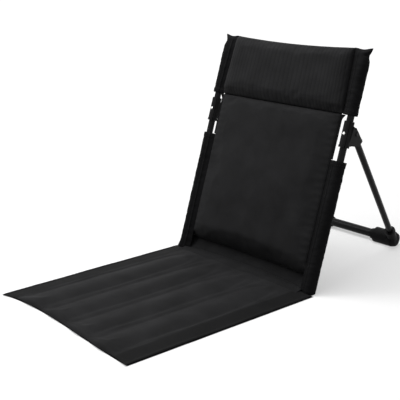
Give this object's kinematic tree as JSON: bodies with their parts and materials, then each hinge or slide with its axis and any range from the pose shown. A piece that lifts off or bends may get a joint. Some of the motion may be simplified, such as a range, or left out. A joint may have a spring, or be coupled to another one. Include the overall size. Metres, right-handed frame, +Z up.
{
  "type": "folding beach chair",
  "caption": "Ground-level folding beach chair: channelled padded seat lying flat, padded reclined back with a headrest on sleeved uprights, hinged tubular rear support.",
  "frame": {"origin": "on the ground, under the middle of the opened chair's bounding box", "axes": "+Z up, +Y towards the rear support, +X towards the sitter's left hand, which is the side nearer the camera in the picture; node names call +X right as seen from the front"},
  "size_m": [0.4618, 0.9438, 0.5267],
  "materials": {
    "frame_tube": "satin black powder coat",
    "moulded_plastic": "moulded black plastic with a fine grain",
    "rivet_steel": "plain zinc-plated steel",
    "panel_cloth": "charcoal woven polyester",
    "sleeve_cloth": "black woven polyester",
    "foam": "soft foam sheet"
  },
  "bodies": {
    "back": {"left_upright_tube": "frame_tube", "right_upright_tube": "frame_tube", "left_top_plug": "moulded_plastic", "right_top_plug": "moulded_plastic", "left_bottom_plug": "moulded_plastic", "right_bottom_plug": "moulded_plastic", "left_hinge_bracket": "moulded_plastic", "right_hinge_bracket": "moulded_plastic", "left_upper_sleeve": "sleeve_cloth", "right_upper_sleeve": "sleeve_cloth", "left_lower_sleeve": "sleeve_cloth", "right_lower_sleeve": "sleeve_cloth", "left_window_binding": "sleeve_cloth", "right_window_binding": "sleeve_cloth", "bracket_rivets": "rivet_steel", "pivot_pins": "rivet_steel", "back_front_cloth": "panel_cloth", "headrest_cloth": "panel_cloth", "back_rear_cloth": "panel_cloth", "crease_cloth": "panel_cloth", "back_foam": "foam", "headrest_foam": "foam"},
    "rear_support": {"left_leg_eye": "moulded_plastic", "right_leg_eye": "moulded_plastic", "left_rear_leg": "frame_tube", "right_rear_leg": "frame_tube", "left_corner_foot": "moulded_plastic", "right_corner_foot": "moulded_plastic", "rear_cross_tube": "frame_tube"},
    "seat": {"seat_base_cloth": "panel_cloth", "seat_top_cloth": "panel_cloth", "seat_foam_outer_left": "foam", "seat_foam_inner_left": "foam", "seat_foam_inner_right": "foam", "seat_foam_outer_right": "foam"}
  },
  "joints": [
    {"name": "rear_support_fold", "type": "hinge", "parent": "back", "child": "rear_support", "pos_m": [0, 0.16985, 0.34262], "axis": [-1, 0, 0], "range_deg": [0, 55]},
    {"name": "seat_fold", "type": "hinge", "parent": "back", "child": "seat", "pos_m": [0, 0.03809, 0.014], "axis": [-1, 0, 0], "range_deg": [0, 100]}
  ]
}
